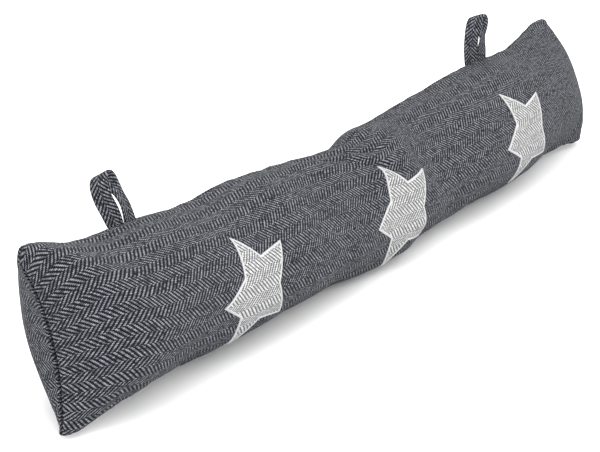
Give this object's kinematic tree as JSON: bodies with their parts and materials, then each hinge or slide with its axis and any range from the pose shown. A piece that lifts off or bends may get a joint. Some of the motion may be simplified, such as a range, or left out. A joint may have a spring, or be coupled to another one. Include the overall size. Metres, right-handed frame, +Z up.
{
  "type": "draught excluder",
  "caption": "Long stuffed cloth cushion that lies along the foot of a door to stop draughts, with star patches on its front and strap loops to hang it up.",
  "frame": {"origin": "bottom centre of the whole object's box, on the surface it rests on", "axes": "+X along the length, towards the right end as seen from the star side; -Y out of the star side; +Z up"},
  "size_m": [0.9, 0.1212, 0.1572],
  "materials": {
    "dark_cloth": "charcoal and light grey herringbone twill, matt",
    "strap_cloth": "the same herringbone twill as a folded strap, matt",
    "pale_cloth": "pale grey herringbone twill with a white satin-stitched edge"
  },
  "bodies": {
    "root": {"body": "dark_cloth", "star_left": "pale_cloth", "star_middle": "pale_cloth", "star_right": "pale_cloth", "loop_left": "strap_cloth", "loop_right": "strap_cloth"}
  },
  "joints": []
}
